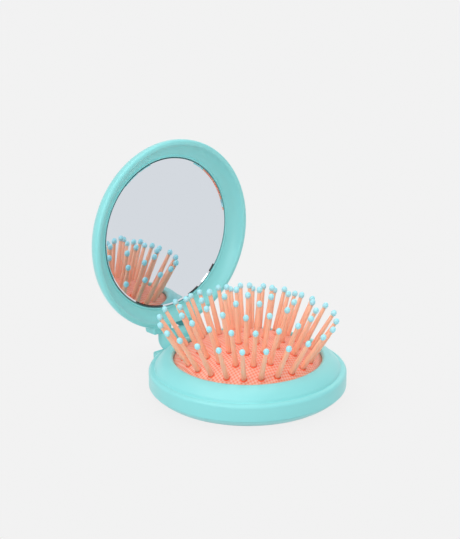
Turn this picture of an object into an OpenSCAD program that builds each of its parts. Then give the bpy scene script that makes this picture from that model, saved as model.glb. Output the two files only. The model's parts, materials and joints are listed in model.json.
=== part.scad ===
// Round folding hairbrush with a mirror in its lid. Millimetres, shown open.
// The base stands on the plane z = 0 with its centre at the origin; the hinge is at +Y.

/* [Base] */
// Outside diameter of the case
case_d = 85; // [80:1:92]
// Wall of the moulded shells
wall_t = 1.8; // [1.4:0.1:2.2]
// Distance of the flat foot's edge from the side wall
foot_in = 6; // [5:0.5:8]
// Height at which the bottom cover meets the side wall
seam_h = 4.2; // [3.8:0.1:4.6]
// Height of the straight side wall
side_h = 10.2; // [9.6:0.1:10.3]
// Radius of the shoulder above the side wall
shoulder_r = 1.3; // [0.9:0.1:1.4]
// Width of the sloping ring round the cushion
ring_w = 10.6; // [10:0.1:12]
// Height of the lip round the window
lip_h = 16.95; // [16:0.05:17.1]
// Rounding of the lip
lip_round = 1.2; // [0.8:0.1:1.4]
// Height of the step from the shoulder up to the sloping ring
step_h = 1.1; // [0.6:0.1:1.2]
// Crown of the sloping ring between step and lip
ring_crown = 0.6; // [0.2:0.1:0.8]
// Diameter of the thumb opening in the bottom cover
thumb_d = 36.8; // [35:0.2:40]
// Number of cover screws
screw_n = 4; // [3:1:6]
// Shank diameter of a cover screw
screw_d = 1.8; // [1.4:0.1:2.2]

/* [Cushion] */
// Radius of the domed cushion's outer face
dome_r = 52.15; // [48:0.5:60]
// Height of the cushion's face at the window's edge
dome_edge_h = 14.85; // [14.4:0.05:14.9]
// Thickness of the rubber skin
skin_t = 2; // [1.6:0.1:2.4]
// Width of the thick rim that the clamp ring holds
bead_w = 1.8; // [1.4:0.1:2]

/* [Bristles] */
// Number of rings of bristles round the centre one
ring_n = 4; // [3:1:4]
// Distance between rings along the cushion's face
ring_pitch = 7.33; // [6.8:0.01:7.5]
// Bristles in the first ring; each further ring has as many more
ring_first = 6; // [5:1:6]
// Length from the cushion's face to the middle of the tip
bristle_l = 18.45; // [14:0.05:20]
// Diameter of a bristle at its foot
bristle_foot_d = 2.5; // [2:0.1:2.7]
// Diameter of a bristle under its tip
bristle_neck_d = 1.65; // [1.2:0.05:1.8]
// Diameter of the egg-shaped tip
tip_d = 2.5; // [2:0.1:2.8]
// Length of the egg-shaped tip
tip_l = 3; // [2.2:0.1:3.4]
// Diameter of the anchor head under the cushion
head_d = 3.4; // [3.2:0.1:3.5]
// Thickness of the anchor head
head_t = 0.9; // [0.6:0.1:1.1]

/* [Push button] */
// Diameter of the button's flange
button_d = 30.6; // [29:0.2:31]
// Thickness of the flange at its edge
flange_t = 1.2; // [0.9:0.1:1.5]
// Depth of the thumb dish
dish_h = 0.9; // [0.4:0.1:1.4]

/* [Hinge] */
// Distance of the hinge axis outside the case
hinge_out = 4.5; // [4.5:0.1:5]
// Height of the hinge axis
hinge_h = 11.5; // [11.5:0.05:11.8]
// Diameter of the hinge knuckles
knuckle_d = 8.8; // [8:0.1:9]
// Width over the lid's two knuckles
hinge_w = 16.4; // [15:0.2:20]
// Width of the base's knuckle
centre_w = 6.4; // [5:0.2:7]
// Width of the hinge block on the lid and of the bracket on the base
block_w = 26; // [24:0.5:30]
// Diameter of the hinge pin
pin_d = 2.5; // [2:0.1:3]
// Angle by which the lid stands open
lid_open = 92.4; // [80:0.1:95]

/* [Lid] */
// Height of the lid above its rim
lid_h = 10.7; // [10.4:0.1:13]
// Width of the rounded edge of the lid's back
lid_edge_w = 14.5; // [11:0.5:18]
// Depth of the mirror's face behind the rim
mirror_in = 5.95; // [5.8:0.05:6.1]
// Width of the hollow border round the mirror
border_w = 7.6; // [7:0.1:9]
// Thickness of the mirror
mirror_t = 1.8; // [1.4:0.1:1.9]
// Width of the polished bevel round the mirror
bevel_w = 0.8; // [0.4:0.1:1.2]
// Depth of the hinge block behind the lid's rim
block_t = 7; // [6:0.1:7.6]
// Thickness of the adhesive tape behind the mirror
tape_t = 0.4; // [0.2:0.1:0.5]

/* [Hidden] */
$fn = 96;
// clearances: between soft or curved faces, between rigid parts, and of the pin in its bores
soft_gap = 0.3;
fit_gap = 0.15;
pin_gap = 0.05;
case_r = case_d / 2;
inner_r = case_r - wall_t;
window_r = case_r - ring_w;
foot_r = case_r - foot_in;
thumb_r = thumb_d / 2;
// the shoulder's crest, where the lid lands, and the step inside it
crest_r = case_r - shoulder_r;
crest_h = side_h + shoulder_r;
ledge_in = crest_r - 1.2;
ring_out = [ledge_in - 0.4, crest_h + step_h];
lip_turn = 65;
lip_mid = [window_r + lip_round, lip_h - lip_round];
ring_in = lip_mid + lip_round * [cos(lip_turn), sin(lip_turn)];
// sphere of the cushion: height of its centre
dome_z = dome_edge_h - sqrt(pow(dome_r, 2) - pow(window_r, 2));
dome_in = dome_r - skin_t;
// the cushion's thick rim, outside the window, and the ring that clamps it
rim_out = 1.7;
rim_r = window_r + rim_out + bead_w;
bead_h = 3;
bead_z = sphere_h(dome_r, rim_r) - bead_h;
clamp_over = 0.7;
clamp_in = window_r - clamp_over;
clamp_h = 1.5;
clamp_z = bead_z - soft_gap - clamp_h;
// screws stand between the clamp ring and the side wall
boss_r = 2.1;
boss_z = seam_h + 1;
cover_boss_r = boss_r + 0.4;
screw_ring = (rim_r + soft_gap + inner_r) / 2;
head_z = 2.4;
head_h = 1;
head_r = 1.75;
slot_w = 0.4;
slot_h = 0.4;
screw_l = 6.4;
screw_top = head_z + head_h + screw_l;
// bottom cover: floor, spigot inside the side wall, rim of the thumb opening, rib under the clamp ring
floor_t = 1.6;
floor_bulge = 0.45;
spigot_r = inner_r - fit_gap;
spigot_t = 1.2;
spigot_h = 2.5;
thumb_cut = 0.6;
thumb_rim_t = 1.6;
thumb_rim_h = 3;
rib_t = 1.6;
rib_r = rim_r - 1.2;
// button: flange under the anchor heads, held in the cushion's collar
button_r = button_d / 2;
button_in = dome_in - head_t - soft_gap;
flange_z = sphere_h(button_in, button_r) - flange_t;
boss_in = 1.5;
dish_in = 1;
collar_in = button_r + soft_gap;
collar_out = collar_in + 1.8;
hook_w = 1;
hook_h = 0.7;
collar_z = flange_z - soft_gap - hook_h;
button_z = collar_z;
// bristles: turn of each ring about Z, and how many it holds
ring_turn = [0, 18.5, 16.6, 15.3, 0.5];
shank_r = bristle_foot_d / 2 - 0.15;
foot_h = 0.6;
hole_gap = 0.05;
// the tip is cut flat below its middle, where it is as wide as the bristle
tip_low = acos(bristle_neck_d / tip_d);
tip_cut = tip_l / 2 * sin(tip_low);
ring_step = ring_pitch / dome_r * 180 / PI;
// hinge
hinge_y = case_r + hinge_out;
knuckle_r = knuckle_d / 2;
block_gap = 3.65;
block_y = hinge_y - block_gap;
block_round = 1.2;
block_cut = 0.4;
bracket_top = hinge_h - knuckle_r - soft_gap;
bracket_t = 3.7;
bracket_z = bracket_top - bracket_t;
bracket_y = hinge_y + 1.9;
bracket_round = 1.3;
arm_t = 1;
knuckle_w = (hinge_w - centre_w) / 2 - soft_gap;
stop_w = 1;
stop_z = bracket_top + fit_gap - hinge_h;
// the gap in the lid's rim, where the base's knuckle stands
notch_w = centre_w + 2 * soft_gap;
notch_y = crest_r + 0.1;
pin_end = 0.3;
// lid, measured up from its rim when shut
lid_wall = 1.4;
lid_low = 1.9;
lid_flat = case_r - lid_edge_w;
rim_gap = 0.3;
rim_cut = [0.4, 0.8];
// frame: hollow cove from the rim down to the mirror's seat, and a backing behind the mirror
frame_r = crest_r;
cove_r = frame_r - 0.8;
frame_t = 1.3;
cove_crown = 1.1;
seat_r = crest_r - border_w;
mirror_r = seat_r - fit_gap;
seat_lip = [0.7, 0.25];
seat_z = mirror_in - 0.2;
bevel_h = 0.35;
tape_z = mirror_in + mirror_t;
frame_top = tape_z + tape_t;
backing_w = 3;
backing_t = 0.7;
backing_in = mirror_r - backing_w;
tape_w = 2.5;
tape_out = mirror_r - 0.3;
teal = [0.56, 0.87, 0.87];
coral = [0.95, 0.62, 0.55];
peach = [0.97, 0.72, 0.6];
ice = [0.66, 0.89, 0.9];

function sphere_h(r, x) = dome_z + sqrt(pow(r, 2) - pow(x, 2));
function ring_size(k) = k == 0 ? 1 : k * ring_first;
// points of a circular arc, from angle a to angle b
function arc(c, r, a, b, n = 8) = oval(c, r, r, a, b, n);
// points of an ellipse's arc
function oval(c, rx, ry, a, b, n = 16) =
    [for (i = [0:n]) c + [rx * cos(a + (b - a) * i / n), ry * sin(a + (b - a) * i / n)]];
// points of a bowed line from p to q, which stands out by h on its left side
function bow(p, q, h, n = 16) = [for (i = [0:n]) let (t = i / n, d = (q - p) / norm(q - p))
    p + (q - p) * t + [-d[1], d[0]] * h * 4 * t * (1 - t)];
// points of the sphere about the dome's centre, between two radii
function dome(r, a, b, n = 12) = [for (i = [0:n]) let (x = a + (b - a) * i / n) [x, sphere_h(r, x)]];

module turned(points) {
    rotate_extrude() polygon(points);
}

// places its child on the cushion's face, along the bristle's own direction
module on_dome(k) {
    for (i = [0:ring_size(k) - 1])
        rotate([0, 0, ring_turn[k] + 360 * i / ring_size(k)])
            translate([0, 0, dome_z])
                rotate([0, ring_step * k, 0])
                    translate([0, 0, dome_r]) children();
}

module at_screws() {
    for (i = [0:screw_n - 1])
        rotate([0, 0, 360 * i / screw_n])
            translate([screw_ring, 0, 0]) children();
}

// an outline in the YZ plane, given width along X
module across(width, points) {
    translate([-width / 2, 0, 0]) rotate([90, 0, 90]) linear_extrude(width) polygon(points);
}

module hinge_rod(r, width) {
    translate([-width / 2, hinge_y, hinge_h]) rotate([0, 90, 0]) cylinder(r = r, h = width);
}

// ---- base ----

module base_housing() {
    color(teal) difference() {
        union() {
            turned(concat(
                [[inner_r, seam_h], [case_r, seam_h]],
                arc([crest_r, side_h], shoulder_r, 0, 90),
                [[ledge_in, crest_h]],
                bow(ring_out, ring_in, -ring_crown),
                arc(lip_mid, lip_round, lip_turn, 180),
                dome(dome_r + soft_gap, window_r, rim_r + soft_gap, 4),
                [[rim_r + 3 * soft_gap, sphere_h(dome_r, rim_r)],
                 [ring_out[0], ring_out[1] - wall_t], [inner_r, side_h - wall_t]]));
            at_screws() translate([0, 0, boss_z]) cylinder(r = boss_r, h = ring_out[1] - wall_t / 3 - boss_z);
            hinge_bracket();
        }
        hinge_rod(pin_d / 2 + pin_gap / 2, block_w);
        at_screws() cylinder(d = screw_d + pin_gap, h = screw_top + fit_gap);
    }
}

// bracket outside the wall, with the arm of the centre knuckle
module hinge_bracket() {
    mid = bracket_y - bracket_round;
    difference() {
        union() {
            across(block_w, concat(
                [[case_r / 2, seam_h + 0.1], [case_r + 0.2, seam_h + 0.1], [case_r + 2, bracket_z]],
                arc([mid, bracket_z + bracket_round], bracket_round, -90, 0, 4),
                arc([mid, bracket_top - bracket_round], bracket_round, 0, 90, 4),
                [[case_r / 2, bracket_top]]));
            across(centre_w, [[case_r / 2, bracket_top - arm_t], [hinge_y, bracket_top - arm_t],
                [hinge_y, hinge_h], [case_r / 2, hinge_h]]);
            hinge_rod(knuckle_r, centre_w);
        }
        cylinder(r = case_r - wall_t / 2, h = 2 * hinge_h);
        // room for the lid's knuckles beside the centre one
        for (side = [-1, 1])
            translate([side * (centre_w + block_w) / 2, 0, 0]) hinge_rod(knuckle_r + soft_gap, block_w);
    }
}

module base_cover() {
    floor_edge = spigot_r - spigot_t;
    color(teal) difference() {
        union() {
            turned(concat(
                [[thumb_r, thumb_rim_h - thumb_cut], [thumb_r, 0]],
                bow([foot_r, 0], [case_r - fit_gap, seam_h], -floor_bulge),
                [[spigot_r, seam_h], [spigot_r, seam_h + spigot_h], [floor_edge, seam_h + spigot_h]],
                oval([foot_r, seam_h], floor_edge - foot_r, seam_h - floor_t, 0, -90),
                [[thumb_r + thumb_rim_t, floor_t], [thumb_r + thumb_rim_t, thumb_rim_h],
                 [thumb_r + thumb_cut, thumb_rim_h]]));
            // rib that presses the clamp ring up against the cushion's rim
            rotate_extrude() translate([rib_r, floor_t / 2]) square([rib_t, clamp_z - floor_t / 2]);
            at_screws() translate([0, 0, head_z + head_h / 2])
                cylinder(r = cover_boss_r, h = boss_z - fit_gap - head_z - head_h / 2);
        }
        at_screws() {
            cylinder(r = head_r + fit_gap, h = head_z + head_h);
            cylinder(r = screw_d / 2 + fit_gap, h = boss_z);
            // the spigot and the rib stop at the housing's bosses
            translate([0, 0, boss_z - fit_gap]) cylinder(r = boss_r + fit_gap, h = clamp_z);
        }
    }
}

module clamp_ring() {
    top = clamp_z + clamp_h;
    wall = rim_r - bead_w - soft_gap;
    color(peach) turned(concat(
        [[clamp_in, clamp_z], [rim_r, clamp_z], [rim_r, top], [wall, top]],
        [for (x = [wall, clamp_in]) [x, sphere_h(dome_in - soft_gap, x)]]));
}

module cushion() {
    color(coral) difference() {
        turned(concat(
            dome(dome_r, 0, rim_r, 24),
            [[rim_r, bead_z], [rim_r - bead_w, bead_z]],
            dome(dome_in, rim_r - bead_w, collar_out, 16),
            [[collar_out, collar_z], [collar_in - hook_w, collar_z],
             [collar_in - hook_w, flange_z - soft_gap],
             [collar_in, flange_z - soft_gap]],
            dome(dome_in, collar_in, 0, 6)));
        for (k = [0:ring_n])
            on_dome(k) translate([0, 0, -2 * skin_t]) cylinder(r = shank_r + hole_gap, h = 3 * skin_t);
    }
}

module cover_screws() {
    color("silver") at_screws() {
        difference() {
            translate([0, 0, head_z]) cylinder(r = head_r, h = head_h);
            for (a = [0, 90])
                rotate([0, 0, a]) translate([-0.6 * head_r, -slot_w / 2, head_z - slot_h])
                    cube([1.2 * head_r, slot_w, 2 * slot_h]);
        }
        translate([0, 0, head_z + head_h]) cylinder(d = screw_d, h = screw_l);
    }
}

module hinge_pin() {
    color("silver") hinge_rod(pin_d / 2, hinge_w - 2 * pin_end);
}

// ---- brush ----

module push_button() {
    boss = button_r - boss_in;
    dish_r = (pow(boss - dish_in, 2) + pow(dish_h, 2)) / (2 * dish_h);
    color(coral) difference() {
        turned(concat(
            [[0, button_z], [boss, button_z], [boss, flange_z], [button_r, flange_z]],
            dome(button_in, button_r, 0, 8)));
        translate([0, 0, button_z + dish_h - dish_r]) sphere(dish_r);
    }
}

module bristle() {
    turned([[0, -skin_t - head_t], [head_d / 2, -skin_t - head_t], [head_d / 2, -skin_t - hole_gap],
        [shank_r, -skin_t - hole_gap], [shank_r, hole_gap], [bristle_foot_d / 2, hole_gap],
        [bristle_foot_d / 2, foot_h], [bristle_neck_d / 2, bristle_l - tip_cut],
        [0, bristle_l - tip_cut]]);
}

module tip() {
    turned(concat([[0, bristle_l - tip_cut]], oval([0, bristle_l], tip_d / 2, tip_l / 2, -tip_low, 90, 10)));
}

module bristles(k) {
    color(peach) on_dome(k) bristle();
}

module tips(k) {
    color(ice) on_dome(k) tip();
}

// ---- lid, drawn shut and then swung open ----

module swung() {
    translate([0, hinge_y, hinge_h]) rotate([-lid_open, 0, 0]) translate([0, -hinge_y, 0]) children();
}

// outline of the lid's back, moved in by t
function lid_back(t) = oval([lid_flat, lid_low], case_r - lid_flat - t, lid_h - lid_low - t, 0, 90);

module lid_shell() {
    color(teal) swung() difference() {
        union() {
            turned(concat([[crest_r + fit_gap, rim_gap], [case_r - rim_cut[0], rim_gap],
                 [case_r, rim_gap + rim_cut[1]]],
                lid_back(0), [[0, lid_h], [0, lid_h - lid_wall]],
                [for (i = [16:-1:0]) lid_back(lid_wall)[i]], [[crest_r + fit_gap, lid_low]]));
            hinge_block();
            for (side = [-1, 1]) translate([side * (notch_w + knuckle_w) / 2, 0, 0]) lid_knuckle();
        }
        translate([-notch_w / 2, notch_y, -2 * knuckle_r])
            cube([notch_w, 2 * hinge_out, lid_h + 2 * knuckle_r]);
        translate([0, 0, -hinge_h]) hinge_rod(pin_d / 2 + pin_gap, block_w);
    }
}

module hinge_block() {
    difference() {
        across(block_w, concat(
            [[case_r / 2, rim_gap], [block_y - block_cut, rim_gap], [block_y, rim_gap + block_cut]],
            arc([block_y - block_round, block_t - block_round], block_round, 0, 90, 4),
            [[case_r / 2, block_t]]));
        turned(concat([[0, -1], [case_r - lid_wall / 2, -1]], lid_back(lid_wall / 2),
            [[0, lid_h - lid_wall / 2]]));
    }
}

module lid_knuckle() {
    translate([0, 0, -hinge_h]) hinge_rod(knuckle_r, knuckle_w);
    across(knuckle_w, [[block_y - block_cut, 0], [hinge_y, 0], [hinge_y, knuckle_r],
        [block_y - block_cut, knuckle_r]]);
    // the flat that lands on the base's bracket when the lid is open
    translate([0, hinge_y, 0]) rotate([lid_open, 0, 0]) translate([-knuckle_w / 2, -stop_w / 2, stop_z])
        cube([knuckle_w, stop_w, knuckle_r / 2]);
}

module lid_frame() {
    color(teal) swung() turned(concat(
        bow([seat_r + seat_lip[0], seat_z - seat_lip[1]], [cove_r, rim_gap], cove_crown),
        [[frame_r, rim_gap], [frame_r, lid_low - frame_t / 2], [frame_r - frame_t, lid_low + frame_t],
         [seat_r + frame_t, seat_z + frame_t], [seat_r + backing_t, frame_top],
         [seat_r - backing_w / 2, frame_top + backing_t], [backing_in, frame_top + backing_t],
         [backing_in, frame_top], [seat_r, frame_top], [seat_r, seat_z]]));
}

module mirror_glass() {
    color([0.83, 0.85, 0.87]) swung() turned([[0, mirror_in], [mirror_r - bevel_w, mirror_in],
        [mirror_r, mirror_in + bevel_h], [mirror_r, tape_z], [0, tape_z]]);
}

module mirror_tape() {
    color("white") swung() turned([[tape_out - tape_w, tape_z], [tape_out, tape_z],
        [tape_out, frame_top], [tape_out - tape_w, frame_top]]);
}

base_housing();
base_cover();
clamp_ring();
cushion();
cover_screws();
hinge_pin();
push_button();
bristles(0);  // bristle_centre
bristles(1);  // bristle_ring_1
bristles(2);  // bristle_ring_2
bristles(3);  // bristle_ring_3
bristles(4);  // bristle_ring_4
tips(0);  // tip_centre
tips(1);  // tip_ring_1
tips(2);  // tip_ring_2
tips(3);  // tip_ring_3
tips(4);  // tip_ring_4
lid_shell();
lid_frame();
mirror_glass();  // mirror
mirror_tape();
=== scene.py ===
import json
from math import acos, cos, pi, radians, sin, sqrt, tan

import bpy
from mathutils import Matrix, Vector


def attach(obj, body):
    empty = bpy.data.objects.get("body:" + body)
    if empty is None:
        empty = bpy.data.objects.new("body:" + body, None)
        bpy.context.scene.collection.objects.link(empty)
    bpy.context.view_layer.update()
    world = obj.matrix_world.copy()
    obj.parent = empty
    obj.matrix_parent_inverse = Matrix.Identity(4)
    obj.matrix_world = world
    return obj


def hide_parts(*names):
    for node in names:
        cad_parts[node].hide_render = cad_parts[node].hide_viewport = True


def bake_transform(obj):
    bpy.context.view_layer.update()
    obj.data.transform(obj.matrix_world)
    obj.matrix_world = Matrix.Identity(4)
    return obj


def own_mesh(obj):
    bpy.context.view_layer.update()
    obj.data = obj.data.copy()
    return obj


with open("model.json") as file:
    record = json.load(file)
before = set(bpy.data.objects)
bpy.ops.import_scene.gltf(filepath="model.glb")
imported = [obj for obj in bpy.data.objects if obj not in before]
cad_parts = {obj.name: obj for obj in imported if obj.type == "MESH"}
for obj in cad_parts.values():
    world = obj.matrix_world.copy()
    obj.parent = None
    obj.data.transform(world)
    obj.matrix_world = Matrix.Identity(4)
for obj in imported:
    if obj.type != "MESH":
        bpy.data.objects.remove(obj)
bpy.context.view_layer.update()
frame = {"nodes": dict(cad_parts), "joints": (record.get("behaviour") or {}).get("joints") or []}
bpy.ops.object.select_all(action="DESELECT")


# ---- Bottom cover ----
# The pan under the base: injection-moulded ABS with a soft-touch paint. Its spigot fits inside the
# side wall, four screws hold it from below, and its round opening lets a thumb reach the button.

# The brush is written in millimetres and turned into metres where it is made.
mm = 0.001


def plastic(name, colour, roughness, grain=0.35, bump=0.1, tint=0.03):
    """A moulded plastic with a fine grain, in millimetres, and with faint clouds in its colour."""
    cloud_size = 18
    gloss_spread = 0.05
    grain_depth = 0.02
    finish = bpy.data.materials.new(name)
    finish.use_nodes = True
    nodes, links = finish.node_tree.nodes, finish.node_tree.links
    shader = nodes["Principled BSDF"]
    place = nodes.new("ShaderNodeTexCoord")
    fine = nodes.new("ShaderNodeTexNoise")
    fine.inputs["Scale"].default_value = 1 / (grain * mm)
    fine.inputs["Detail"].default_value = 3
    links.new(place.outputs["Object"], fine.inputs["Vector"])
    cloud = nodes.new("ShaderNodeTexNoise")
    cloud.inputs["Scale"].default_value = 1 / (cloud_size * mm)
    links.new(place.outputs["Object"], cloud.inputs["Vector"])
    shade = nodes.new("ShaderNodeMix")
    shade.name = "tint"
    shade.data_type = "RGBA"
    shade.inputs["A"].default_value = (*[c * (1 - tint) for c in colour], 1)
    shade.inputs["B"].default_value = (*[min(1, c * (1 + tint)) for c in colour], 1)
    links.new(cloud.outputs["Fac"], shade.inputs["Factor"])
    links.new(shade.outputs["Result"], shader.inputs["Base Color"])
    gloss = nodes.new("ShaderNodeMapRange")
    gloss.inputs["To Min"].default_value = roughness - gloss_spread
    gloss.inputs["To Max"].default_value = roughness + gloss_spread
    links.new(fine.outputs["Fac"], gloss.inputs["Value"])
    links.new(gloss.outputs["Result"], shader.inputs["Roughness"])
    relief = nodes.new("ShaderNodeBump")
    relief.inputs["Strength"].default_value = bump
    relief.inputs["Distance"].default_value = grain_depth * mm
    links.new(fine.outputs["Fac"], relief.inputs["Height"])
    links.new(relief.outputs["Normal"], shader.inputs["Normal"])
    return finish


def sockets(finish):
    """The sockets of a finish's shader."""
    return finish.node_tree.nodes["Principled BSDF"].inputs


def dress(piece, finish):
    """Gives a piece its only finish."""
    piece.data.materials.clear()
    piece.data.materials.append(finish)


teal = plastic("soft_touch_teal", (0.28, 0.76, 0.77), roughness=0.36)
sockets(teal)["Sheen Weight"].default_value = 0.2
sockets(teal)["Sheen Roughness"].default_value = 0.4
dress(frame["nodes"]["base_cover"], teal)


# ---- Clamp ring, push button, screws and hinge pin ----
# The ring that the cover presses up against the cushion's rim and the button that a thumb pushes
# are moulded in coral ABS. The cover's screws and the hinge pin are plated steel.

coral_plastic = plastic("coral_plastic", (0.86, 0.33, 0.25), roughness=0.45)
steel = plastic("plated_steel", (0.62, 0.62, 0.64), roughness=0.28, grain=0.12, bump=0.05)
sockets(steel)["Metallic"].default_value = 1
for name in ("clamp_ring", "push_button"):
    dress(frame["nodes"][name], coral_plastic)
for name in ("cover_screws", "hinge_pin"):
    dress(frame["nodes"][name], steel)


# ---- Upper housing ----
# The side wall, the ledge that the lid lands on, and the sloping ring round the window are one
# painted ABS moulding, spun here from its section. The hinge's bracket and centre knuckle stand on
# its back.

# Edges that turn by more than crease degrees look sharp, and soften rounds those past bevel_from.
# Points closer together than weld become one.
crease = 32
bevel_from = 40
weld = 0.002 * mm


def arc(centre, radius, start, end, steps=10):
    """Points of an arc, from one angle in degrees to another."""
    turns = [radians(start + (end - start) * i / steps) for i in range(steps + 1)]
    return [(centre[0] + radius * cos(a), centre[1] + radius * sin(a)) for a in turns]


def bow(start, end, height, steps=24):
    """Points of a bowed line, which stands out by height on its left side."""
    start, end = Vector(start), Vector(end)
    side = (end - start).normalized().orthogonal() * height
    return [start.lerp(end, i / steps) + side * 4 * (i / steps) * (1 - i / steps) for i in range(steps + 1)]


def oblong(left, low, right, high):
    """The corners of an upright rectangle."""
    return [(left, low), (right, low), (right, high), (left, high)]


def rounded(corners, steps=6):
    """Points of a closed outline whose corners, (across, up, rounding), are rounded off."""
    points = []
    for i, (across, up, rounding) in enumerate(corners):
        corner = Vector((across, up))
        if not rounding:
            points.append(corner)
            continue
        back = (Vector(corners[i - 1][:2]) - corner).normalized()
        on = (Vector(corners[(i + 1) % len(corners)][:2]) - corner).normalized()
        half = back.angle(on) / 2
        centre = corner + (back + on).normalized() * rounding / sin(half)
        first = corner + back * rounding / tan(half) - centre
        last = corner + on * rounding / tan(half) - centre
        points += [centre + first.lerp(last, k / steps).normalized() * rounding for k in range(steps + 1)]
    return points


def sharp(points):
    """The points as corners without rounding."""
    return [(across, up, 0) for across, up in points]


def line(name, points, plane):
    """A mesh of one line through the points, in millimetres, left open in edit mode."""
    bpy.ops.mesh.primitive_plane_add(size=mm)
    piece = bpy.context.object
    piece.name = name
    bpy.ops.object.mode_set(mode="EDIT")
    bpy.ops.mesh.merge(type="CENTER")
    here = Vector((0, 0, 0))
    for number, point in enumerate(points):
        there = plane @ Vector((*point, 0)) * mm
        if number == 0:
            bpy.ops.transform.translate(value=there)
        else:
            bpy.ops.mesh.extrude_vertices_move(TRANSFORM_OT_translate={"value": there - here})
        here = there
    bpy.ops.mesh.select_all(action="SELECT")
    return piece


def closed(piece):
    """Merges doubles, turns the faces outwards, leaves edit mode and shades the piece."""
    bpy.ops.mesh.select_all(action="SELECT")
    bpy.ops.mesh.remove_doubles(threshold=weld)
    bpy.ops.mesh.normals_make_consistent(inside=False)
    bpy.ops.object.mode_set(mode="OBJECT")
    bpy.ops.object.shade_smooth_by_angle(angle=radians(crease))
    return piece


def spun(name, points, steps=192):
    """An outline of (radius, height) turned once round the Z axis."""
    piece = line(name, points, Matrix.Rotation(pi / 2, 3, "X"))
    bpy.ops.mesh.spin(steps=steps, angle=2 * pi, center=(0, 0, 0), axis=(0, 0, 1))
    return closed(piece)


def soften(piece, width):
    """Rounds the sharp edges of a piece."""
    bevel = piece.modifiers.new("bevel", "BEVEL")
    bevel.width = width * mm
    bevel.segments = 3
    bevel.limit_method = "ANGLE"
    bevel.angle_limit = radians(bevel_from)
    bpy.context.view_layer.objects.active = piece
    bpy.ops.object.modifier_apply(modifier="bevel")
    bpy.ops.object.shade_smooth_by_angle(angle=radians(crease))


def slab(name, points, width, round_off):
    """An outline of (y, z) given width along X, with its edges rounded."""
    piece = line(name, points, Matrix(((0, 0, 1), (1, 0, 0), (0, 1, 0))))
    bpy.ops.mesh.remove_doubles(threshold=weld)
    bpy.ops.mesh.edge_face_add()
    bpy.ops.mesh.extrude_region_move(TRANSFORM_OT_translate={"value": (width * mm, 0, 0)})
    bpy.ops.mesh.select_all(action="SELECT")
    bpy.ops.transform.translate(value=(-width / 2 * mm, 0, 0))
    closed(piece)
    soften(piece, round_off)
    return piece


def rod(name, place, radius, width, round_off=0):
    """A cylinder along X with its middle at place, in millimetres."""
    bpy.ops.mesh.primitive_cylinder_add(vertices=96, radius=radius * mm, depth=width * mm,
                                        location=Vector(place) * mm, rotation=(0, pi / 2, 0))
    piece = bpy.context.object
    piece.name = name
    bpy.ops.object.transform_apply(location=True, rotation=True, scale=True)
    if round_off:
        soften(piece, round_off)
    bpy.ops.object.shade_smooth_by_angle(angle=radians(crease))
    return piece


def pick(piece):
    """Selects one piece and nothing else."""
    bpy.ops.object.select_all(action="DESELECT")
    piece.select_set(True)
    bpy.context.view_layer.objects.active = piece


def combine(piece, tool, operation):
    """Cuts a tool out of a piece, or welds it on, and takes the tool away."""
    change = piece.modifiers.new("combine", "BOOLEAN")
    change.operation = operation
    change.solver = "EXACT"
    change.material_mode = "TRANSFER"
    change.object = tool
    pick(piece)
    bpy.ops.object.modifier_apply(modifier="combine")
    bpy.data.objects.remove(tool)
    bpy.ops.object.mode_set(mode="EDIT")
    bpy.ops.mesh.select_all(action="SELECT")
    bpy.ops.mesh.remove_doubles(threshold=weld)
    bpy.ops.object.mode_set(mode="OBJECT")


def finished(piece, nodes, angle=crease):
    """Shades a piece and hides the CAD nodes that it stands for."""
    pick(piece)
    bpy.ops.object.shade_smooth_by_angle(angle=radians(angle))
    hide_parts(*nodes)
    bpy.ops.object.select_all(action="DESELECT")


case_r = 42.5
wall = 1.8
wall_top = 8.6
seam_h = 4.2
seam_round = 0.35
shoulder_round = 1.4
ledge_h = 11.5
ledge_in = 40
ledge_round = 0.45
window_r = 31.9
lip_h = 16.95
lip_low = 15.2
lip_round = 1.2
lip_turn = 65
lip = (window_r + lip_round, lip_h - lip_round)
ring_start = (39.6, 12.6)
ring_start_round = 0.5
ring_end = (lip[0] + lip_round * cos(radians(lip_turn)), lip[1] + lip_round * sin(radians(lip_turn)))
ring_bow = -0.6
ring_under = [(35.7, 12.1), (39, 11.2)]
# The rounding at the ring's start takes the place of its first points.
ring_top = bow(ring_start, ring_end, ring_bow)[4:]
housing = spun("upper_housing", rounded([
    (case_r - wall, seam_h, 0), (case_r, seam_h, seam_round), (case_r, ledge_h, shoulder_round),
    (ledge_in, ledge_h, ledge_round), (*ring_start, ring_start_round), *sharp(ring_top),
    *sharp(arc(lip, lip_round, lip_turn, 180)), (window_r, lip_low, 0), *sharp(ring_under),
    (case_r - wall, wall_top, 0), (case_r - wall, seam_h, 0)]))

# The hinge's bracket. Its root lies inside the wall, and a slope below it and one above it lead out
# to its full depth.
lid_hinge = frame["joints"][0]
hinge = Vector(lid_hinge["pos_m"]) / mm
hinge_w = 26
hinge_round = 0.45
bracket_in = 38
bracket_out = 48.9
bracket_low = 3.1
bracket_top = 7.3
root_low = 4.3
root_top = 6.4
low_slope = (42.7, 44.5)
top_slope = (43.6, 44.8)
bracket = slab("bracket", rounded([
    (bracket_in, root_low, 0), (low_slope[0], root_low, 0.6), (low_slope[1], bracket_low, 0.8),
    (bracket_out, bracket_low, 1.3), (bracket_out, bracket_top, 1.2), (top_slope[1], bracket_top, 0.5),
    (top_slope[0], root_top, 0), (bracket_in, root_top, 0)]), hinge_w, hinge_round)

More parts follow.
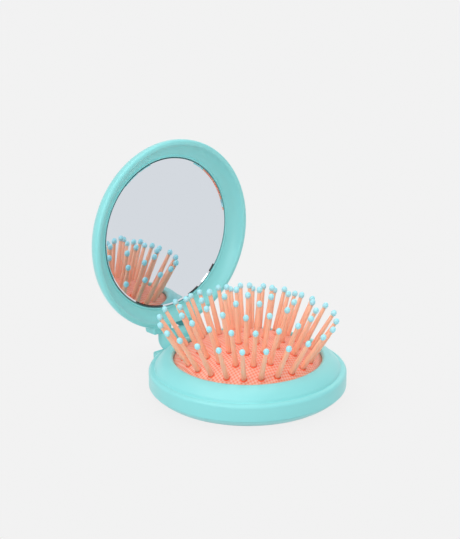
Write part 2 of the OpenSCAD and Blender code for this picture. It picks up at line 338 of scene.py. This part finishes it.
# Beside the centre knuckle the bracket is hollowed for the lid's knuckles. Faces of two pieces that
# would lie in one plane are kept a hair apart, because a weld can't close along such faces.
knuckle_r = 4.4
play = 0.3
hair = 0.1
centre_w = 6.4
centre_round = 0.3
arm_in = 41.3
arm_low = 5.8
arm_round = 0.2
for side in (-1, 1):
    middle = hinge + Vector((side * (centre_w + hinge_w) / 2, 0, 0))
    combine(bracket, rod("room", middle, knuckle_r + play, hinge_w), "DIFFERENCE")
arm = slab("arm", oblong(arm_in, arm_low, hinge.y, hinge.z - hair), centre_w - 2 * hair, arm_round)
knuckle = rod("centre_knuckle", hinge, knuckle_r, centre_w, centre_round)
for part in (knuckle, arm, bracket):
    combine(housing, part, "UNION")
dress(housing, teal)
finished(housing, ["base_housing"])
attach(housing, "base")


# ---- Lid case ----
# The lid's back, its rolled rim and the hollow border round the mirror are painted ABS and show as
# one smooth moulding. It is spun shut, its hinge block and two knuckles are welded on, and then it
# is swung open about the pin.

def above_pin(points):
    """Points of the shut lid's outlines, whose heights count from the pin."""
    return [(across, up + hinge.z) for across, up in points]


def open_up(piece):
    """Swings a piece that was made shut about the hinge pin to where the open lid stands."""
    to_pin = Matrix.Translation(hinge * mm)
    piece.data.transform(to_pin @ Matrix.Rotation(radians(-lid_open), 4, "X") @ to_pin.inverted())


lid_open = lid_hinge["range_deg"][1]
lid_h = 10.7
lid_low = 1.9
lid_flat = 28
lid_wall = 1.4
rim_gap = 0.3
rim_round = 1.2
cove_r = 40.4
cove_round = 0.7
cove_bow = -1
bead = (34.42, 5.65)
bead_r = 0.42
bead_from = -25
bead_to = -180
backing_r = 30.5
backing_h = 8.2
back = [(lid_flat + (case_r - lid_flat) * cos(radians(a)), lid_low + (lid_h - lid_low) * sin(radians(a)))
        for a in range(90, 5, -5)]
cove_start = (cove_r - 0.3, rim_gap + 0.5)
cove_end = (bead[0] + bead_r + 0.15, bead[1] - 0.1)
lid = spun("lid_case", above_pin(rounded([
    (0, lid_h, 0), *sharp(back), (case_r, lid_low, 0), (case_r, rim_gap, rim_round),
    (cove_r, rim_gap, cove_round), *sharp(bow(cove_start, cove_end, cove_bow)),
    *sharp(arc(bead, bead_r, bead_from, bead_to)), (bead[0] - bead_r, backing_h, 0),
    (backing_r, backing_h, 0), (backing_r, lid_h - lid_wall, 0), (0, lid_h - lid_wall, 0)])))

# The hinge block stands out of the lid's side. Its inner end lies inside the lid's rim.
block_low = rim_gap + 0.06
block_low_in = 40.45
block_out = 43.35
block_top = 7
block_top_in = 36
block = slab("hinge_block", above_pin(rounded([
    (block_low_in, block_low, 0), (block_out, block_low, 0.5), (block_out, block_top, 1.2),
    (block_top_in, block_top, 0)])), hinge_w, hinge_round)
notch_w = 7
lid_knuckle_w = 4.7
lid_knuckle_round = 0.5
neck_in = 43
neck_top = hinge.z + knuckle_r - 2 * hair
for side in (-1, 1):
    aside = Vector((side * (notch_w + lid_knuckle_w) / 2, 0, 0))
    neck = slab("neck", oblong(neck_in, hinge.z, hinge.y, neck_top), lid_knuckle_w - hair, arm_round)
    neck.data.transform(Matrix.Translation(aside * mm))
    combine(block, neck, "UNION")
    lid_knuckle = rod("lid_knuckle", hinge + aside, knuckle_r, lid_knuckle_w, lid_knuckle_round)
    combine(block, lid_knuckle, "UNION")
combine(lid, block, "UNION")

# Between the knuckles a notch is cut through the block. Its faces get a darker, deeper teal than the paint, a
# painted shade for the dim inside of the notch.
notch_y = 40.2
notch_long = 12
notch_high = 48
bpy.ops.mesh.primitive_cube_add(size=1, location=(0, (notch_y + notch_long / 2) * mm, hinge.z * mm))
notch = bpy.context.object
notch.scale = Vector((notch_w - hair, notch_long, notch_high)) * mm
bpy.ops.object.transform_apply(location=True, rotation=True, scale=True)
notch_painted_shade = plastic("notch_painted_shade", (0.06, 0.48, 0.5), roughness=0.5)
dress(lid, teal)
dress(notch, notch_painted_shade)
combine(lid, notch, "DIFFERENCE")
open_up(lid)
finished(lid, ["lid_shell", "lid_frame"])
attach(lid, "lid")


# ---- Mirror ----
# A silvered glass disc with a fine polished edge, held by a ring of foam tape. Light that goes in
# at the polished edge comes back as from a face that leans inwards, so it is made as one.

silver = bpy.data.materials.new("silvered_glass")
silver.use_nodes = True
sockets(silver)["Base Color"].default_value = (0.742, 0.781, 0.832, 1)
sockets(silver)["Metallic"].default_value = 1
sockets(silver)["Roughness"].default_value = 0.02
mirror_r = 33.45
mirror_t = 1.8
mirror_low = 5.95
mirror_top = mirror_low + mirror_t
edge_w = 0.6
edge_h = 0.333
edge_crease = 10
mirror = spun("mirror_glass", above_pin([
    (0, mirror_low), (mirror_r - edge_w, mirror_low), (mirror_r, mirror_low - edge_h),
    (mirror_r, mirror_top), (0, mirror_top)]))
open_up(mirror)
dress(mirror, silver)
finished(mirror, ["mirror"], angle=edge_crease)
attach(mirror, "lid")
foam = plastic("foam_tape", (0.7, 0.7, 0.68), roughness=0.8, grain=0.2, bump=0.4)
dress(frame["nodes"]["mirror_tape"], foam)


# ---- Cushion ----
# A thin dome of coral rubber with a fine cross-hatched face. It is held by its rim below the window. Each
# bristle stands in a shallow dimple, whose deep red is painted shade round the bristle's foot.

window_h = 14.85
dome_r = 52.15
dome_z = window_h - sqrt(dome_r ** 2 - window_r ** 2)
skin = 2
rim_r = 35.4
rim_w = 1.8
rim_low = 9
ring_sizes = (1, 6, 12, 18, 24)
ring_turns = (0, 18.5, 16.6, 15.3, 0.5)
ring_pitch = 7.33
ring_step = ring_pitch / dome_r


def dome(radius, start, end, steps):
    """Points of the cushion's sphere, from one distance from the axis to another."""
    return [(x, dome_z + sqrt(radius ** 2 - x ** 2)) for x in
            [start + (end - start) * i / steps for i in range(steps + 1)]]


def seats(number):
    """The places of one ring of bristles: each stands square to the cushion's face."""
    out = Matrix.Translation((0, 0, dome_z * mm))
    lean = Matrix.Rotation(ring_step * number, 4, "Y") @ Matrix.Translation((0, 0, dome_r * mm))
    for i in range(ring_sizes[number]):
        turn = radians(ring_turns[number] + 360 * i / ring_sizes[number])
        yield out @ Matrix.Rotation(turn, 4, "Z") @ lean


def copied(model, places, name):
    """One piece out of copies of a model at the places, each with its own mesh."""
    bpy.ops.object.select_all(action="DESELECT")
    for place in places:
        copy = model.copy()
        copy.data = model.data.copy()
        copy.data.transform(place)
        bpy.context.collection.objects.link(copy)
        copy.select_set(True)
        bpy.context.view_layer.objects.active = copy
    bpy.ops.object.join()
    piece = bpy.context.object
    piece.name = name
    return piece


def let_light_in(finish, share, depth, spread):
    """Lets light spread below the surface, to a depth in millimetres and by a share of it for each colour."""
    sockets(finish)["Subsurface Weight"].default_value = share
    sockets(finish)["Subsurface Scale"].default_value = depth * mm
    sockets(finish)["Subsurface Radius"].default_value = spread


def rubber(name, light, dark, hatch):
    """Soft rubber whose moulded cross-hatch has a pitch of hatch millimetres."""
    wave_share = 0.314
    hatch_depth = 0.1
    hatch_turns = (13, -77)
    finish = plastic(name, light, roughness=0.5)
    nodes, links = finish.node_tree.nodes, finish.node_tree.links
    shader = nodes["Principled BSDF"]
    place = nodes["Texture Coordinate"]
    bands = []
    for angle in hatch_turns:
        turn = nodes.new("ShaderNodeMapping")
        turn.inputs["Rotation"].default_value = (0, 0, radians(angle))
        links.new(place.outputs["Object"], turn.inputs["Vector"])
        band = nodes.new("ShaderNodeTexWave")
        band.inputs["Scale"].default_value = wave_share / (hatch * mm)
        band.inputs["Distortion"].default_value = 0.4
        links.new(turn.outputs["Vector"], band.inputs["Vector"])
        bands.append(band.outputs["Fac"])
    weave = nodes.new("ShaderNodeMath")
    weave.operation = "MULTIPLY_ADD"
    weave.inputs[1].default_value = 0.5
    halved = nodes.new("ShaderNodeMath")
    halved.operation = "MULTIPLY"
    halved.inputs[1].default_value = 0.5
    links.new(bands[0], weave.inputs[0])
    links.new(bands[1], halved.inputs[0])
    links.new(halved.outputs["Value"], weave.inputs[2])
    lines = nodes.new("ShaderNodeMix")
    lines.data_type = "RGBA"
    lines.inputs["A"].default_value = (*dark, 1)
    links.new(weave.outputs["Value"], lines.inputs["Factor"])
    links.new(nodes["tint"].outputs["Result"], lines.inputs["B"])
    links.new(lines.outputs["Result"], shader.inputs["Base Color"])
    relief = nodes.new("ShaderNodeBump")
    relief.inputs["Strength"].default_value = 0.5
    relief.inputs["Distance"].default_value = hatch_depth * mm
    links.new(weave.outputs["Value"], relief.inputs["Height"])
    links.new(relief.outputs["Normal"], shader.inputs["Normal"])
    let_light_in(finish, share=0.25, depth=1.2, spread=(1, 0.35, 0.2))
    return finish


coral = rubber("coral_rubber", light=(1.0, 0.56, 0.45), dark=(0.97, 0.22, 0.12), hatch=1.25)
# The dimples' deep red is painted shade for the gaps round the bristles' feet.
painted_shade_coral = plastic("painted_shade_rubber", (1.0, 0.14, 0.05), roughness=0.6)
cushion = spun("rubber_cushion", [
    *dome(dome_r, 0, rim_r, steps=60), (rim_r, rim_low), (rim_r - rim_w, rim_low),
    *dome(dome_r - skin, rim_r - rim_w, 0, steps=24)])
dress(cushion, coral)

# Each dimple is cut by a short rod that stands on the face. It is moved towards the front and left of the
# brush, where the camera stands, so that its painted shade shows as a crescent on the near side of each
# bristle's foot only.
dimple_r = 1.52
dimple_rod = 1.2
dimple_up = 0.42
dimple_shift = Vector((-0.36 * mm, -0.45 * mm, 0))
dimple = rod("dimple", (0, 0, 0), dimple_r, dimple_rod)
dimple.data.transform(Matrix.Translation((0, 0, dimple_up * mm)) @ Matrix.Rotation(pi / 2, 4, "Y"))
dress(dimple, painted_shade_coral)
dimple_places = []
for number in range(len(ring_sizes)):
    for place in seats(number):
        aside = place.to_3x3().inverted() @ dimple_shift
        dimple_places.append(place @ Matrix.Translation((aside.x, aside.y, 0)))
combine(cushion, copied(dimple, dimple_places, "dimples"), "DIFFERENCE")
bpy.data.objects.remove(dimple)
finished(cushion, ["cushion"])
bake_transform(cushion)


# ---- Bristles ----
# Tapered pins of translucent nylon, moulded with a foot and an egg-shaped tip of a second colour.
# They are pushed through the cushion from below and stand square to its face.

bristle_l = 18.45
head_r = 1.7
head_low = -2.9
head_top = -2.15
head_edge = 0.1
shank_r = 1.1
shank_top = -0.5
foot_r = 1.25
foot_low = -0.25
foot_top = 0.5
taper_r = 1.2
taper_low = 1.2
neck_r = 0.825
tip_r = 1.25
tip_half = 1.5
tip_low = acos(neck_r / tip_r)
tip_steps = 14
neck_z = bristle_l - tip_half * sin(tip_low)
peg_r = neck_r - 0.1
peg_z = neck_z + 0.2
round_steps = 24
peach = plastic("peach_nylon", (1.0, 0.52, 0.36), roughness=0.4, bump=0.04, tint=0)
let_light_in(peach, share=0.8, depth=1.5, spread=(1, 0.7, 0.6))
ice = plastic("ice_nylon", (0.43, 0.84, 0.95), roughness=0.28, bump=0.03)
let_light_in(ice, share=0.4, depth=1.2, spread=(0.6, 0.9, 1))
pin = spun("pin", [
    (0, head_low), (head_r - head_edge, head_low), (head_r, head_low + head_edge), (head_r, head_top),
    (shank_r, head_top + head_edge), (shank_r, shank_top), (foot_r, foot_low), (foot_r, foot_top),
    (taper_r, taper_low), (neck_r, neck_z), (peg_r, peg_z), (0, peg_z)], round_steps)
turns = [-tip_low + (pi / 2 + tip_low) * i / tip_steps for i in range(tip_steps)]
egg = spun("egg", [
    (0, neck_z), *[(tip_r * cos(a), bristle_l + tip_half * sin(a)) for a in turns],
    (0, bristle_l + tip_half)], round_steps)
dress(pin, peach)
dress(egg, ice)
models = ((pin, "bristle"), (egg, "tip"))


def planted(model, kind, ring, places, group=""):
    """The bristles, or their tips, at some places of a ring, as one piece."""
    piece = copied(model, places, f"{kind}s_{ring}{group}")
    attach(piece, "base")
    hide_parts(f"{kind}_{ring}")
    return piece


# Each inner ring has a height and a share of its length for shortening as the brush goes down, but nothing
# here shortens the rings; only their names are used.
folds = {"centre": (-6.3, 0.45), "ring_1": (-7.1, 0.461), "ring_2": (-6.7, 0.476), "ring_3": (4.1, 0.364)}
for number, (ring, (low, keep)) in enumerate(folds.items()):
    for model, kind in models:
        piece = planted(model, kind, ring, seats(number))
        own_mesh(piece)

# The outer ring leans too much to shorten along one line, so it is made in groups, each as its own piece.
outer_seats = list(seats(len(ring_sizes) - 1))
outer_group = 4
for model, kind in models:
    for start in range(0, len(outer_seats), outer_group):
        places = outer_seats[start:start + outer_group]
        piece = planted(model, kind, "ring_4", places, f"_{start // outer_group + 1}")
        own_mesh(piece)
bpy.data.objects.remove(pin)
bpy.data.objects.remove(egg)


# ---- Studio ----
# A pale table under soft daylight lamps, with black cards that only show in reflections. It is
# there for the pictures and isn't part of the brush. Its sizes and places are in metres.

def seen(nodes, links):
    """1 for what the camera sees, straight or in a mirror, and 0 for the light that falls on the brush."""
    rays = nodes.new("ShaderNodeLightPath")
    either = nodes.new("ShaderNodeMath")
    either.operation = "MAXIMUM"
    links.new(rays.outputs["Is Camera Ray"], either.inputs[0])
    links.new(rays.outputs["Is Glossy Ray"], either.inputs[1])
    return either.outputs["Value"]


def facing(place, aim, side):
    """The turn that points one side of a thing from its place at an aim."""
    return (Vector(aim) - Vector(place)).to_track_quat(side, "Y").to_euler()


# The table and the sky show at one pale strength. Near the brush, its shadow takes a little away.
background = 0.887
contact_shade = 0.95
contact_reach = 0.025
bpy.ops.object.select_all(action="DESELECT")
bpy.ops.mesh.primitive_plane_add(size=8)
table = bpy.context.object
table.name = "table"
table_top = bpy.data.materials.new("table_top")
table_top.use_nodes = True
nodes, links = table_top.node_tree.nodes, table_top.node_tree.links
nodes.remove(nodes["Principled BSDF"])
matt = nodes.new("ShaderNodeBsdfDiffuse")
matt.inputs["Color"].default_value = (0.8, 0.8, 0.8, 1)
glow = nodes.new("ShaderNodeEmission")
contact = nodes.new("ShaderNodeAmbientOcclusion")
contact.inputs["Distance"].default_value = contact_reach
contact.samples = 8
fade = nodes.new("ShaderNodeMapRange")
fade.inputs["To Min"].default_value = contact_shade * background
fade.inputs["To Max"].default_value = background
links.new(contact.outputs["AO"], fade.inputs["Value"])
links.new(fade.outputs["Result"], glow.inputs["Strength"])
show = nodes.new("ShaderNodeMixShader")
links.new(seen(nodes, links), show.inputs["Fac"])
links.new(matt.outputs["BSDF"], show.inputs[1])
links.new(glow.outputs["Emission"], show.inputs[2])
links.new(show.outputs["Shader"], nodes["Material Output"].inputs["Surface"])
dress(table, table_top)

sky_light = 0.26
world = bpy.data.worlds.new("studio")
world.use_nodes = True
bpy.context.scene.world = world
nodes, links = world.node_tree.nodes, world.node_tree.links
sky = nodes["Background"]
sky.inputs["Color"].default_value = (1, 1, 1, 1)
level = nodes.new("ShaderNodeMapRange")
level.inputs["To Min"].default_value = sky_light
level.inputs["To Max"].default_value = background
links.new(seen(nodes, links), level.inputs["Value"])
links.new(level.outputs["Result"], sky.inputs["Strength"])

# The lamps point at the middle of the brush, and the cards at the lower half of the mirror.
lamp_aim = (0, 0, 0.04)
card_aim = (0, 0.05, 0.04)


def lamp(name, place, size, power, glints=True):
    """A square soft box. Without glints, no reflection shows it."""
    bpy.ops.object.light_add(type="AREA", location=place)
    light = bpy.context.object
    light.name = name
    light.data.size = size
    light.data.energy = power
    light.visible_glossy = glints
    light.rotation_euler = facing(place, lamp_aim, "-Z")


def black_card(name, place, size):
    """A square card that only shows in reflections, and so darkens parts of the mirror's edge."""
    bpy.ops.mesh.primitive_plane_add(size=size, location=place)
    card = bpy.context.object
    card.name = name
    card.rotation_euler = facing(place, card_aim, "Z")
    dress(card, black)
    card.visible_camera = False
    card.visible_diffuse = False
    card.visible_shadow = False


lamp("left", (-0.82, -0.08, 0.72), size=0.7, power=3.7)
lamp("top", (-0.1, 0.2, 1.05), size=1.0, power=5.2)
lamp("front_left", (-0.78, -0.78, 0.42), size=0.7, power=3.1)
lamp("front_right", (0.75, -0.8, 0.75), size=0.5, power=3.4, glints=False)
lamp("back_right", (0.9, 0.5, 0.5), size=0.6, power=2.5, glints=False)
lamp("glint", (0.05, -1.0, 0.54), size=0.13, power=0.08)
black = bpy.data.materials.new("black_card")
black.use_nodes = True
sockets(black)["Base Color"].default_value = (0.05, 0.035, 0.03, 1)
black_card("card_1", (-0.1, -0.92, 0.42), size=0.12)
black_card("card_2", (0.26, -0.84, 0.62), size=0.18)
black_card("card_3", (0.84, -0.45, 0.4), size=0.36)


# ---- Camera ----
# A long lens, from the left of the front and a little above. The picture is higher than it is wide,
# so the sensor's width is laid along its height.

camera_place = Vector((-523.5, -598.6, 338.5)) * mm
camera_turn = radians(-40.626)
camera_down = radians(19.568)
sensor = 36
focal_px = 2000
picture_h = 539
bpy.ops.object.camera_add(location=camera_place, rotation=(pi / 2 - camera_down, 0, camera_turn))
camera = bpy.context.object
camera.data.sensor_width = sensor
camera.data.lens = focal_px * sensor / picture_h
camera.data.clip_start = 0.01
bpy.context.scene.camera = camera
bpy.context.scene.view_settings.view_transform = "Standard"
